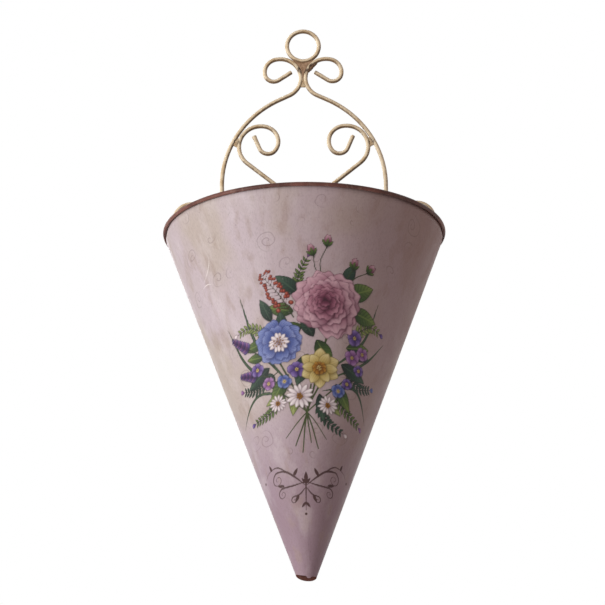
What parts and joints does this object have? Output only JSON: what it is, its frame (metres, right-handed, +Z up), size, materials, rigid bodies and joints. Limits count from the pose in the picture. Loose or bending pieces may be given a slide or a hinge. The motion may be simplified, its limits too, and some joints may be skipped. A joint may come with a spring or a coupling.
{
  "type": "wall planter",
  "caption": "Hanging wall planter: a tapering half-round printed tin pocket with a flat back and rolled rim, hung from a frame of wire scrolls with a ring at the top.",
  "frame": {"origin": "where a nail through the hanging ring meets the wall: the level of the top of the ring's inside, in the plane of the back's rear face", "axes": "+Z up, +Y into the wall, +X to the viewer's right"},
  "size_m": [0.2, 0.13, 0.4162],
  "materials": {
    "printed_tin": "pale pinkish ground with a printed bouquet under satin lacquer, brown lacquer inside",
    "brown_tin": "brown satin lacquer",
    "cream_wire": "cream paint brushed with antique gold",
    "brown_weld": "painted weld, browned"
  },
  "bodies": {
    "root": {"front_shell": "printed_tin", "back_plate": "brown_tin", "rim_wire": "brown_tin", "hanging_ring": "cream_wire", "main_scroll_right": "cream_wire", "main_scroll_left": "cream_wire", "heart_scroll_right": "cream_wire", "heart_scroll_left": "cream_wire", "ring_weld": "brown_weld", "neck_weld": "brown_weld", "heart_weld_right": "brown_weld", "heart_weld_left": "brown_weld", "foot_weld_right": "brown_weld", "foot_weld_left": "brown_weld", "stem_weld": "brown_weld"}
  },
  "joints": []
}
